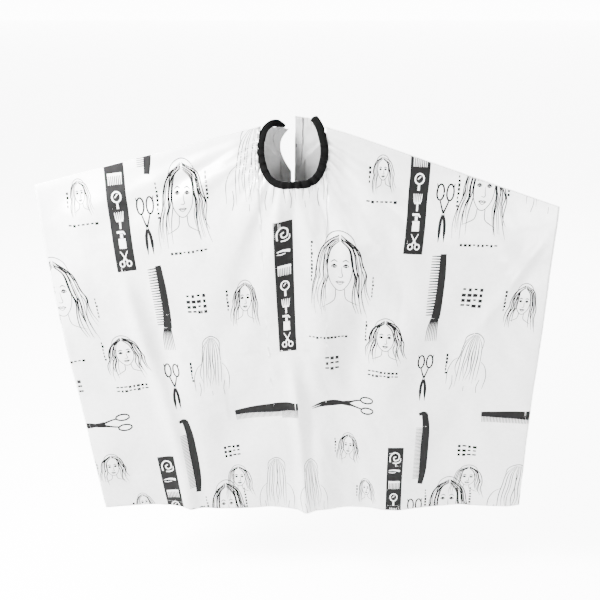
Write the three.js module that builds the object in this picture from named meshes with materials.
// Barber cape, hanging as it does over a pair of shoulders. Millimetres, +Z up, the front faces -Y.
// The origin lies in the neck opening, midway between the two points where the collar crosses the
// shoulders. One sheet of cloth folds over both shoulder lines and is slit down the centre of the
// back. It is built as the pieces that its folds leave: a front, two back halves and two collar
// flaps, each with its own turned hems, collar band, elastic and closing tape.
import * as THREE from 'three';

// Cloth and clearances
const CLOTH = 1.0;
const HEM_CLOTH = 2.0;
const GAP = 0.4;

// Shoulder lines: each runs from the neck, at height 0, down to its corner
const LEFT_CORNER_X = 615;
const LEFT_CORNER_DROP = 140;
const RIGHT_CORNER_X = 642;
const RIGHT_CORNER_DROP = 195;

// Front
const FRONT_HEM_Z = -1030;
const FRONT_BOW = 85;
const FRONT_BOW_EDGE_LOSS = 20;
const FRONT_HEM_WIDTH = 18;
const SIDE_HEM_WIDTH = 12;
const LEFT_EDGE_TAPER = 0.164;
const RIGHT_EDGE_TAPER = 0.034;
const RIGHT_EDGE_HOLLOW = 0.022;
const BULGE = 16;
const BULGE_HALF_WIDTH = 70;
const BULGE_HALF_HEIGHT = 110;

// Back
const BACK_HEM_Z = -680;
const BACK_BOW = 70;
const BACK_BOW_EDGE_LOSS = 12;
const BACK_LEFT_TAPER = 0.03;
const BACK_RIGHT_TAPER = 0.05;
const BACK_HEM_WIDTH = 18;
const PLACKET_WIDTH = 26;
const SLIT_HALF = 4;

// Drape: how deep below the shoulder line the cloth reaches its full bow, and its broad flutes
const EASE_DEPTH = 170;
const FLUTE_DEPTH = 7;
const FLUTE_PITCH = 315;
const FLUTE_FULL_DEPTH = 900;

// Neck opening and collar band
const NECK_HALF = 81;
const NECK_DROP = 128.5;
const NECK_SQUARENESS = 3.4;
const BAND_WIDTH = 16;
const BAND_THICK = 7;
const BAND_WALL = 1.6;
const ELASTIC_CLEAR = 0.3;
const BAND_SIDES = 12;
const BAND_ROUNDNESS = 0.7;
const BAND_SEAT = 0.8;

// Collar flaps: vertical plates of cloth that fold out about a slanting roll line
const ROLL_NECK_Y = 10;
const ROLL_NECK_Z = -26;
const ROLL_SLIT_Y = 52;
const ROLL_SLIT_Z = -120;
const FACING_WIDTH = 20;
const LOOP_TAPE_WIDTH = 20;
const LOOP_TAPE_LENGTH = 62;
const HOOK_TAPE_WIDTH = 16;
const HOOK_TAPE_LENGTH = 36;
const HOOK_TAPE_ALONG = 39;
const HOOK_TAPE_TOP_Z = -24;
const TAPE_INSET = 3;
const TAPE_THICK = 1.2;
const BARTACK_LENGTH = 9;
const BARTACK_WIDTH = 4;
const BARTACK_THICK = 0.8;

// Care label, sewn to the inside of the right back half beside the placket
const LABEL_WIDTH = 32;
const LABEL_LENGTH = 48;
const LABEL_THICK = 0.6;
const LABEL_TOP_Z = -585;
const LABEL_X = 52;

const material = (color, roughness) => new THREE.MeshStandardMaterial({ color, roughness, metalness: 0 });
const clothMaterial = material(0xe9e9e9, 0.55);
const hemMaterial = material(0xdcdcdc, 0.6);
const facingMaterial = material(0xb4b4b4, 0.65);
const bandMaterial = material(0x0b0b0b, 0.8);
const elasticMaterial = material(0xd8d4cc, 0.8);
const tapeMaterial = material(0xa0a0a0, 0.9);
const threadMaterial = material(0x050505, 0.7);
const labelMaterial = material(0xf2f2f2, 0.7);

const cape = new THREE.Group();

function addPiece(name, geometry, pieceMaterial) {
  const mesh = new THREE.Mesh(geometry, pieceMaterial);
  mesh.name = name;
  cape.add(mesh);
}

// ---- Closed solids -------------------------------------------------------------------------

// A closed solid from a block of points: triangles are turned round if they face inwards.
function closedSolid(points, triangles) {
  let volume = 0;
  for (const [a, b, c] of triangles) {
    volume += points[a].dot(new THREE.Vector3().crossVectors(points[b], points[c]));
  }
  const facing = volume < 0 ? triangles.map(([a, b, c]) => [a, c, b]) : triangles;
  const geometry = new THREE.BufferGeometry();
  geometry.setFromPoints(points);
  geometry.setIndex(facing.flat());
  return geometry;
}

// A sheet of cloth of even thickness, from a grid of points on its middle surface.
function sheetSolid(grid, thickness) {
  const rows = grid.length;
  const columns = grid[0].length;
  const points = [];
  for (const side of [0.5, -0.5]) {
    for (let r = 0; r < rows; r += 1) {
      for (let c = 0; c < columns; c += 1) {
        const across = grid[r][Math.min(c + 1, columns - 1)].clone().sub(grid[r][Math.max(c - 1, 0)]);
        const down = grid[Math.min(r + 1, rows - 1)][c].clone().sub(grid[Math.max(r - 1, 0)][c]);
        const normal = across.cross(down).normalize();
        points.push(grid[r][c].clone().addScaledVector(normal, side * thickness));
      }
    }
  }
  const back = rows * columns;
  const at = (r, c) => r * columns + c;
  const triangles = [];
  for (let r = 0; r < rows - 1; r += 1) {
    for (let c = 0; c < columns - 1; c += 1) {
      const corners = [at(r, c), at(r, c + 1), at(r + 1, c + 1), at(r + 1, c)];
      triangles.push([corners[0], corners[1], corners[2]], [corners[0], corners[2], corners[3]]);
      const [p, q, s, t] = corners.map((corner) => corner + back);
      triangles.push([p, s, q], [p, t, s]);
    }
  }
  const rim = [];
  for (let c = 0; c < columns - 1; c += 1) rim.push(at(0, c));
  for (let r = 0; r < rows - 1; r += 1) rim.push(at(r, columns - 1));
  for (let c = columns - 1; c > 0; c -= 1) rim.push(at(rows - 1, c));
  for (let r = rows - 1; r > 0; r -= 1) rim.push(at(r, 0));
  rim.forEach((near, i) => {
    const next = rim[(i + 1) % rim.length];
    triangles.push([near, near + back, next + back], [near, next + back, next]);
  });
  return closedSolid(points, triangles);
}

// A strip of rounded section swept along stations; hollow where it has an inner section.
// A station holds its centre and the directions of the strip's width and thickness.
function sweptStrip(stations, outer, inner) {
  const loops = inner ? [outer, inner] : [outer];
  const sides = outer.length;
  const points = [];
  const triangles = [];
  for (const loop of loops) {
    for (const station of stations) {
      for (const [w, t] of loop) {
        const point = station.centre.clone();
        point.addScaledVector(station.width, w);
        point.addScaledVector(station.thick, t);
        points.push(point);
      }
    }
  }
  const at = (loop, s, k) => (loop * stations.length + s) * sides + (k % sides);
  for (let s = 0; s < stations.length - 1; s += 1) {
    for (let k = 0; k < sides; k += 1) {
      const quad = [at(0, s, k), at(0, s, k + 1), at(0, s + 1, k + 1), at(0, s + 1, k)];
      triangles.push([quad[0], quad[1], quad[2]], [quad[0], quad[2], quad[3]]);
      if (inner) {
        const bore = [at(1, s, k), at(1, s, k + 1), at(1, s + 1, k + 1), at(1, s + 1, k)];
        triangles.push([bore[0], bore[2], bore[1]], [bore[0], bore[3], bore[2]]);
      }
    }
  }
  const last = stations.length - 1;
  for (let k = 0; k < sides; k += 1) {
    if (inner) {
      triangles.push([at(0, 0, k), at(1, 0, k), at(1, 0, k + 1)], [at(0, 0, k), at(1, 0, k + 1), at(0, 0, k + 1)]);
      triangles.push([at(0, last, k), at(1, last, k + 1), at(1, last, k)]);
      triangles.push([at(0, last, k), at(0, last, k + 1), at(1, last, k + 1)]);
    } else if (k > 0 && k < sides - 1) {
      triangles.push([at(0, 0, 0), at(0, 0, k + 1), at(0, 0, k)]);
      triangles.push([at(0, last, 0), at(0, last, k), at(0, last, k + 1)]);
    }
  }
  return closedSolid(points, triangles);
}

// A rounded oblong section, width by thickness.
function ovalSection(width, thick) {
  const section = [];
  for (let k = 0; k < BAND_SIDES; k += 1) {
    const angle = (2 * Math.PI * k) / BAND_SIDES;
    const round = (value) => Math.sign(value) * Math.abs(value) ** BAND_ROUNDNESS;
    section.push([(width / 2) * round(Math.cos(angle)), (thick / 2) * round(Math.sin(angle))]);
  }
  return section;
}

// ---- The hanging surfaces -------------------------------------------------------------------

const ease = (depth) => 1 - Math.exp(-Math.max(depth, 0) / EASE_DEPTH);
const flute = (u, depth) => (
  -FLUTE_DEPTH * Math.cos((2 * Math.PI * u) / FLUTE_PITCH) * (Math.max(depth, 0) / FLUTE_FULL_DEPTH) ** 1.3
);

// Height of the shoulder line at a distance u from the centre (u < 0 on the left).
function shoulderHeight(u) {
  const cornerX = u < 0 ? LEFT_CORNER_X : RIGHT_CORNER_X;
  const cornerDrop = u < 0 ? LEFT_CORNER_DROP : RIGHT_CORNER_DROP;
  return (-cornerDrop * (Math.abs(u) - NECK_HALF)) / (cornerX - NECK_HALF);
}

// Height of the front neck edge: a squarish U.
function neckHeight(u) {
  const across = Math.min(Math.abs(u) / NECK_HALF, 1);
  return -NECK_DROP * (1 - across ** NECK_SQUARENESS) ** (1 / NECK_SQUARENESS);
}

const frontTop = (u) => (Math.abs(u) >= NECK_HALF ? shoulderHeight(u) : neckHeight(u));

function frontPoint(u, z, thickness) {
  const shoulder = Math.min(shoulderHeight(u), 0);
  const depth = shoulder - z;
  const share = depth / (shoulder - FRONT_HEM_Z);
  const taper = u < 0
    ? LEFT_EDGE_TAPER * share
    : RIGHT_EDGE_TAPER * share + RIGHT_EDGE_HOLLOW * Math.sin(Math.PI * share);
  const bow = FRONT_BOW - FRONT_BOW_EDGE_LOSS * (u / RIGHT_CORNER_X) ** 2;
  const bulge = BULGE * Math.exp(-((u / BULGE_HALF_WIDTH) ** 2) - ((z + NECK_DROP) / BULGE_HALF_HEIGHT) ** 2);
  const y = -(thickness + GAP) / 2 - bow * ease(depth) - bulge + flute(u, depth);
  return new THREE.Vector3(u * (1 - taper), y, z);
}

// The back half starts on the shoulder line, and beside the neck on the roll line of its flap.
function backTop(u) {
  const reach = Math.abs(u);
  if (reach >= NECK_HALF) return { y: 0, z: shoulderHeight(u) };
  const along = (NECK_HALF - reach) / (NECK_HALF - SLIT_HALF);
  return {
    y: ROLL_NECK_Y + (ROLL_SLIT_Y - ROLL_NECK_Y) * along,
    z: ROLL_NECK_Z + (ROLL_SLIT_Z - ROLL_NECK_Z) * along,
  };
}

function backPoint(u, z, thickness) {
  const top = backTop(u);
  const depth = top.z - z;
  const bow = BACK_BOW - BACK_BOW_EDGE_LOSS * (u / RIGHT_CORNER_X) ** 2;
  const share = depth / (top.z - BACK_HEM_Z);
  const taper = (u < 0 ? BACK_LEFT_TAPER : BACK_RIGHT_TAPER) * share;
  const start = Math.abs(u) >= NECK_HALF ? (thickness + GAP) / 2 : top.y;
  const y = start + (bow - start) * ease(depth) + flute(u, depth);
  const slitTaper = Math.abs(u) < NECK_HALF ? taper * (Math.abs(u) / NECK_HALF) : taper;
  return new THREE.Vector3(u * (1 - slitTaper), y, z);
}

// Evenly spread values from a to b.
const spread = (a, b, steps) => Array.from({ length: steps + 1 }, (_, i) => a + ((b - a) * i) / steps);

// Columns round the neck are evenly spaced along its edge, so that they stay close where the U is steep.
function neckColumns(steps) {
  const edge = new THREE.SplineCurve(spread(-1, 1, 400).map((share) => {
    const u = NECK_HALF * Math.sin((share * Math.PI) / 2);
    return new THREE.Vector2(u, neckHeight(u));
  }));
  return edge.getSpacedPoints(steps).slice(1, -1).map((point) => point.x);
}

// A patch of a hanging surface between a top edge and a bottom edge, both given for each column.
function hangingPatch(columns, rows, topZ, bottomZ, surface, thickness) {
  return sheetSolid(
    rows.map((share) => columns.map((u) => surface(u, topZ(u) + (bottomZ(u) - topZ(u)) * share, thickness))),
    thickness,
  );
}

// Rows lie closer together near the shoulders, where the cloth turns most.
const closerAtTop = (steps) => spread(0, 1, steps).map((share) => share ** 1.5);

// ---- Front ----------------------------------------------------------------------------------

const frontLeft = -LEFT_CORNER_X;
const frontRight = RIGHT_CORNER_X;
const frontColumns = [
  ...spread(frontLeft + SIDE_HEM_WIDTH + GAP, -NECK_HALF - GAP, 11),
  ...neckColumns(22),
  ...spread(NECK_HALF + GAP, frontRight - SIDE_HEM_WIDTH - GAP, 11),
];
const belowFrontTop = (u) => frontTop(u) - GAP;
const frontHemTop = FRONT_HEM_Z + FRONT_HEM_WIDTH;
const frontClothBottom = () => frontHemTop + GAP;

addPiece(
  'front_panel',
  hangingPatch(frontColumns, closerAtTop(14), belowFrontTop, frontClothBottom, frontPoint, CLOTH),
  clothMaterial,
);
addPiece(
  'front_bottom_hem',
  hangingPatch(spread(frontLeft, frontRight, 36), [0, 1], () => frontHemTop, () => FRONT_HEM_Z, frontPoint, HEM_CLOTH),
  hemMaterial,
);
for (const [name, from, to] of [
  ['front_left_hem', frontLeft, frontLeft + SIDE_HEM_WIDTH],
  ['front_right_hem', frontRight - SIDE_HEM_WIDTH, frontRight],
]) {
  const hem = hangingPatch([from, to], closerAtTop(16), belowFrontTop, frontClothBottom, frontPoint, HEM_CLOTH);
  addPiece(name, hem, hemMaterial);
}

// ---- Back halves ----------------------------------------------------------------------------

const backHemTop = BACK_HEM_Z + BACK_HEM_WIDTH;
const backClothBottom = () => backHemTop + GAP;
const belowBackTop = (u) => backTop(u).z - GAP;

for (const [side, sign, corner] of [['left', -1, LEFT_CORNER_X], ['right', 1, RIGHT_CORNER_X]]) {
  const columns = [
    ...spread(corner - SIDE_HEM_WIDTH - GAP, NECK_HALF + GAP, 11),
    ...spread(NECK_HALF - GAP, SLIT_HALF + PLACKET_WIDTH + GAP, 5),
  ].map((u) => sign * u);
  const across = spread(corner, SLIT_HALF, 22).map((u) => sign * u);
  const placket = [SLIT_HALF + PLACKET_WIDTH, SLIT_HALF].map((u) => sign * u);
  const sideHem = [corner, corner - SIDE_HEM_WIDTH].map((u) => sign * u);
  const rows = closerAtTop(12);
  addPiece(
    `back_${side}_panel`,
    hangingPatch(columns, rows, belowBackTop, backClothBottom, backPoint, CLOTH),
    clothMaterial,
  );
  addPiece(
    `back_${side}_bottom_hem`,
    hangingPatch(across, [0, 1], () => backHemTop, () => BACK_HEM_Z, backPoint, HEM_CLOTH),
    hemMaterial,
  );
  addPiece(
    `back_${side}_side_hem`,
    hangingPatch(sideHem, rows, belowBackTop, backClothBottom, backPoint, HEM_CLOTH),
    hemMaterial,
  );
  addPiece(
    `back_${side}_placket`,
    hangingPatch(placket, rows, belowBackTop, backClothBottom, backPoint, HEM_CLOTH),
    facingMaterial,
  );
}

// ---- Collar band: front ---------------------------------------------------------------------

const bandSection = ovalSection(BAND_WIDTH, BAND_THICK);
const bandBore = ovalSection(BAND_WIDTH - 2 * BAND_WALL, BAND_THICK - 2 * BAND_WALL);
const elasticSection = ovalSection(
  BAND_WIDTH - 2 * BAND_WALL - 2 * ELASTIC_CLEAR,
  BAND_THICK - 2 * BAND_WALL - 2 * ELASTIC_CLEAR,
);

// A station of the strip: its width direction is made square to the way the strip runs.
function bandStation(centre, tangent, widthHint) {
  const thick = new THREE.Vector3().crossVectors(tangent, widthHint).normalize();
  const width = new THREE.Vector3().crossVectors(thick, tangent).normalize();
  return { centre, width, thick, tangent };
}

// The front band lies against the neck edge of the front, from shoulder to shoulder. At each end it
// bends level, to pass over the shoulder.
const neckEdge = new THREE.CatmullRomCurve3(
  neckColumns(160).map((u) => frontPoint(u, neckHeight(u), CLOTH)),
);
const bandHalf = NECK_HALF - BAND_SEAT - BAND_WIDTH / 2;
const bandSideZ = -BAND_THICK / 2 - 1;
const FRONT_BAND_STEPS = 28;
const FRONT_BAND_MARGIN = 0.1;
const faceForward = new THREE.Vector3(0, -1, 0.3).normalize();
const frontStations = spread(FRONT_BAND_MARGIN, 1 - FRONT_BAND_MARGIN, FRONT_BAND_STEPS).map((share) => {
  const tangent = neckEdge.getTangentAt(share);
  const inward = new THREE.Vector3().crossVectors(faceForward, tangent).normalize();
  const centre = neckEdge.getPointAt(share).addScaledVector(inward, BAND_WIDTH / 2 + BAND_SEAT);
  return bandStation(centre, tangent, inward);
});
const shoulderStation = (sign, run) => bandStation(
  new THREE.Vector3(sign * bandHalf, (run * GAP) / 2, bandSideZ),
  new THREE.Vector3(0, sign, 0),
  new THREE.Vector3(-sign, 0, 0),
);
frontStations.unshift(shoulderStation(-1, -1));
frontStations.push(shoulderStation(1, -1));

addPiece('neckband_front', sweptStrip(frontStations, bandSection, bandBore), bandMaterial);
addPiece('neck_elastic_front', sweptStrip(frontStations, elasticSection), elasticMaterial);

// ---- Collar flaps ---------------------------------------------------------------------------

// Each flap is a flat plate in the upright plane through its roll line. A place on it is given by
// its distance from the neck end of the roll line, measured level, and by its height.
const flapRun = Math.hypot(NECK_HALF - SLIT_HALF, ROLL_SLIT_Y - ROLL_NECK_Y);
const rollHeight = (along) => ROLL_NECK_Z + ((ROLL_SLIT_Z - ROLL_NECK_Z) * along) / flapRun;

function flapFrame(sign) {
  const level = new THREE.Vector3(sign * -(NECK_HALF - SLIT_HALF), ROLL_SLIT_Y - ROLL_NECK_Y, 0).normalize();
  const outward = new THREE.Vector3(sign * level.y, Math.abs(level.x), 0);
  const origin = new THREE.Vector3(sign * NECK_HALF, ROLL_NECK_Y, 0);
  const place = (along, height, out) => (
    origin.clone().addScaledVector(level, along).addScaledVector(outward, out).setZ(height)
  );
  return { level, outward, place };
}

// A flat piece on the flap: an outline of [along, height] points, between two outward distances.
function flapPlate(frame, outline, outFrom, outTo) {
  const shape = new THREE.Shape(outline.map(([along, height]) => new THREE.Vector2(along, height)));
  const { shape: ring } = shape.extractPoints(1);
  const faces = THREE.ShapeUtils.triangulateShape(ring, []);
  const count = ring.length;
  const points = [outFrom, outTo].flatMap((out) => ring.map((p) => frame.place(p.x, p.y, out)));
  const triangles = faces.flatMap(([a, b, c]) => [[a, b, c], [a + count, c + count, b + count]]);
  const clockwise = THREE.ShapeUtils.isClockWise(ring);
  for (let i = 0; i < count; i += 1) {
    const next = (i + 1) % count;
    const [p, q] = clockwise ? [next, i] : [i, next];
    triangles.push([p, p + count, q + count], [p, q + count, q]);
  }
  return closedSolid(points, triangles);
}

// Heights on the flaps: the slit edge at the top, and the band's end along the top edge
const LEFT_TIP_ALONG = 83;
const LEFT_TIP_Z = -17;
const LEFT_WAIST_ALONG = 50;
const LEFT_WAIST_TOP_Z = -40;
const LEFT_WAIST_FOOT_Z = -70;
const RIGHT_TIP_ALONG = 85;
const RIGHT_TIP_Z = 13;
const RIGHT_BAND_END = 45;
const LEFT_BAND_END = 64;
const LEFT_BAND_PEAK_Z = -3;
const RIGHT_BAND_PEAK_Z = 6;
const LEFT_BAND_END_Z = -5;
const BAND_START_ALONG = 9.5;
const BAND_RISE_ALONG = 4;
const BAND_RISE_DROP = 4;
const BAND_LEVEL_ALONG = 18;
const BAND_TURN_DOWN = 8;
const ROLL_CLEAR = 0.5;
const FLAP_INSET = 1.5;
const EDGE_STEPS = 8;
const BAND_END_STEPS = 14;
const BAND_TWIST_RATE = 2.6;

// Slit edge of a flap, from the tip down to the roll line, drawn in by an inset.
function slitEdge(side, inset, steps) {
  const bottom = flapRun - 1;
  if (side === 'right') {
    return [[RIGHT_TIP_ALONG - inset, RIGHT_TIP_Z], [bottom - inset, rollHeight(bottom - inset) + ROLL_CLEAR]];
  }
  const lift = rollHeight(0) - rollHeight(inset);
  const curve = new THREE.CubicBezierCurve(
    new THREE.Vector2(LEFT_TIP_ALONG - inset, LEFT_TIP_Z),
    new THREE.Vector2(LEFT_WAIST_ALONG - inset, LEFT_WAIST_TOP_Z + lift / 3),
    new THREE.Vector2(LEFT_WAIST_ALONG - inset, LEFT_WAIST_FOOT_Z + lift),
    new THREE.Vector2(bottom - inset, rollHeight(bottom - inset) + ROLL_CLEAR),
  );
  return curve.getPoints(steps).map((p) => [p.x, p.y]);
}

const closings = {
  left: { sign: -1, bandEnd: LEFT_BAND_END, peakZ: LEFT_BAND_PEAK_Z, endZ: LEFT_BAND_END_Z },
  right: { sign: 1, bandEnd: RIGHT_BAND_END, peakZ: RIGHT_BAND_PEAK_Z, endZ: RIGHT_BAND_PEAK_Z },
};

for (const [side, closing] of Object.entries(closings)) {
  const frame = flapFrame(closing.sign);

  // The band's end starts level on the shoulder, twists upright and runs along the flap's top edge.
  const bandCurve = new THREE.CatmullRomCurve3([
    new THREE.Vector3(closing.sign * bandHalf, GAP / 2, bandSideZ),
    frame.place(BAND_START_ALONG + BAND_RISE_ALONG, closing.peakZ - BAND_RISE_DROP, 0),
    frame.place(BAND_START_ALONG + BAND_LEVEL_ALONG, closing.peakZ, 0),
    frame.place(closing.bandEnd - BAND_TURN_DOWN, (closing.peakZ + closing.endZ) / 2, 0),
    frame.place(closing.bandEnd, closing.endZ, 0),
  ], false, 'centripetal');
  const stations = spread(0, 1, BAND_END_STEPS).map((share) => {
    const level = new THREE.Vector3(-closing.sign, 0, 0);
    const widthHint = level.lerp(new THREE.Vector3(0, 0, 1), Math.min(share * BAND_TWIST_RATE, 1));
    const tangent = share === 0 ? new THREE.Vector3(0, 1, 0) : bandCurve.getTangent(share);
    return bandStation(bandCurve.getPoint(share), tangent, widthHint);
  });
  addPiece(`neckband_${side}_end`, sweptStrip(stations, bandSection, bandBore), bandMaterial);
  addPiece(`neck_elastic_${side}`, sweptStrip(stations, elasticSection), elasticMaterial);

  // The flap's cloth ends under the band; past the band's end its corner stands free.
  const underBand = stations.map(({ centre, width, thick, tangent }) => {
    const reach = (BAND_WIDTH / 2) * Math.abs(width.z) + (BAND_THICK / 2) * Math.abs(thick.z);
    const lean = tangent.z * (BAND_WIDTH / 2);
    const along = centre.clone().sub(frame.place(0, 0, centre.z)).dot(frame.level) + lean;
    return [along, centre.z - reach - BAND_SEAT];
  }).filter(([along]) => along > BAND_START_ALONG);
  const neckHeightUnderBand = Math.min(...underBand.slice(0, 4).map(([, height]) => height)) - BAND_SEAT;
  underBand.splice(0, 4, [FLAP_INSET, neckHeightUnderBand], [underBand[3][0], neckHeightUnderBand]);
  const freeCorner = side === 'right'
    ? [[closing.bandEnd + BAND_SEAT, underBand.at(-1)[1]], [closing.bandEnd + BAND_SEAT, RIGHT_TIP_Z]]
    : [];
  const clothEdge = slitEdge(side, FACING_WIDTH + GAP, EDGE_STEPS);
  const clothTop = [...underBand, ...freeCorner].filter(([along]) => along < clothEdge[0][0]);
  const neckCorner = [FLAP_INSET, rollHeight(FLAP_INSET) + ROLL_CLEAR];
  const flapOutline = [neckCorner, ...clothEdge.reverse(), ...clothTop.reverse()];
  addPiece(`${side}_collar_flap`, flapPlate(frame, flapOutline, -CLOTH / 2, CLOTH / 2), clothMaterial);

  // Turned facing along the slit edge.
  const facingInner = slitEdge(side, FACING_WIDTH, EDGE_STEPS);
  const facingOuter = slitEdge(side, 0, EDGE_STEPS);
  const facing = flapPlate(frame, [...facingInner, ...facingOuter.reverse()], -HEM_CLOTH / 2, HEM_CLOTH / 2);
  addPiece(`${side}_collar_facing`, facing, facingMaterial);
}

// ---- Closing tapes, bartack and label -------------------------------------------------------

// An oblong patch on one face of a flap; outFrom and outTo are its distances from the plate's middle.
function flapPatch(side, alongFrom, width, topZ, length, outFrom, outTo) {
  const frame = flapFrame(closings[side].sign);
  const outline = [
    [alongFrom, topZ],
    [alongFrom + width, topZ],
    [alongFrom + width, topZ - length],
    [alongFrom, topZ - length],
  ];
  return flapPlate(frame, outline, outFrom, outTo);
}

const onHem = HEM_CLOTH / 2 + GAP;
const loopAlong = RIGHT_TIP_ALONG - FACING_WIDTH - 1;
const loopTape = flapPatch(
  'right', loopAlong, LOOP_TAPE_WIDTH, RIGHT_TIP_Z - TAPE_INSET, LOOP_TAPE_LENGTH, -onHem, -onHem - TAPE_THICK,
);
addPiece('loop_tape', loopTape, tapeMaterial);
const hookTape = flapPatch(
  'left', HOOK_TAPE_ALONG, HOOK_TAPE_WIDTH, HOOK_TAPE_TOP_Z, HOOK_TAPE_LENGTH, onHem, onHem + TAPE_THICK,
);
addPiece('hook_tape', hookTape, tapeMaterial);
const bartackAlong = RIGHT_TIP_ALONG - BARTACK_WIDTH - 1;
const bartackTop = RIGHT_TIP_Z - TAPE_INSET - LOOP_TAPE_LENGTH - GAP;
const bartack = flapPatch(
  'right', bartackAlong, BARTACK_WIDTH, bartackTop, BARTACK_LENGTH, -onHem, -onHem - BARTACK_THICK,
);
addPiece('tape_bartack', bartack, threadMaterial);

const labelInset = CLOTH / 2 + GAP + LABEL_THICK / 2;
const labelRows = [0, 0.5, 1];
const label = hangingPatch(
  [LABEL_X, LABEL_X + LABEL_WIDTH / 2, LABEL_X + LABEL_WIDTH],
  labelRows,
  () => LABEL_TOP_Z,
  () => LABEL_TOP_Z - LABEL_LENGTH,
  (u, z) => backPoint(u, z, CLOTH).add(new THREE.Vector3(0, -labelInset, 0)),
  LABEL_THICK,
);
addPiece('care_label', label, labelMaterial);

export default cape;
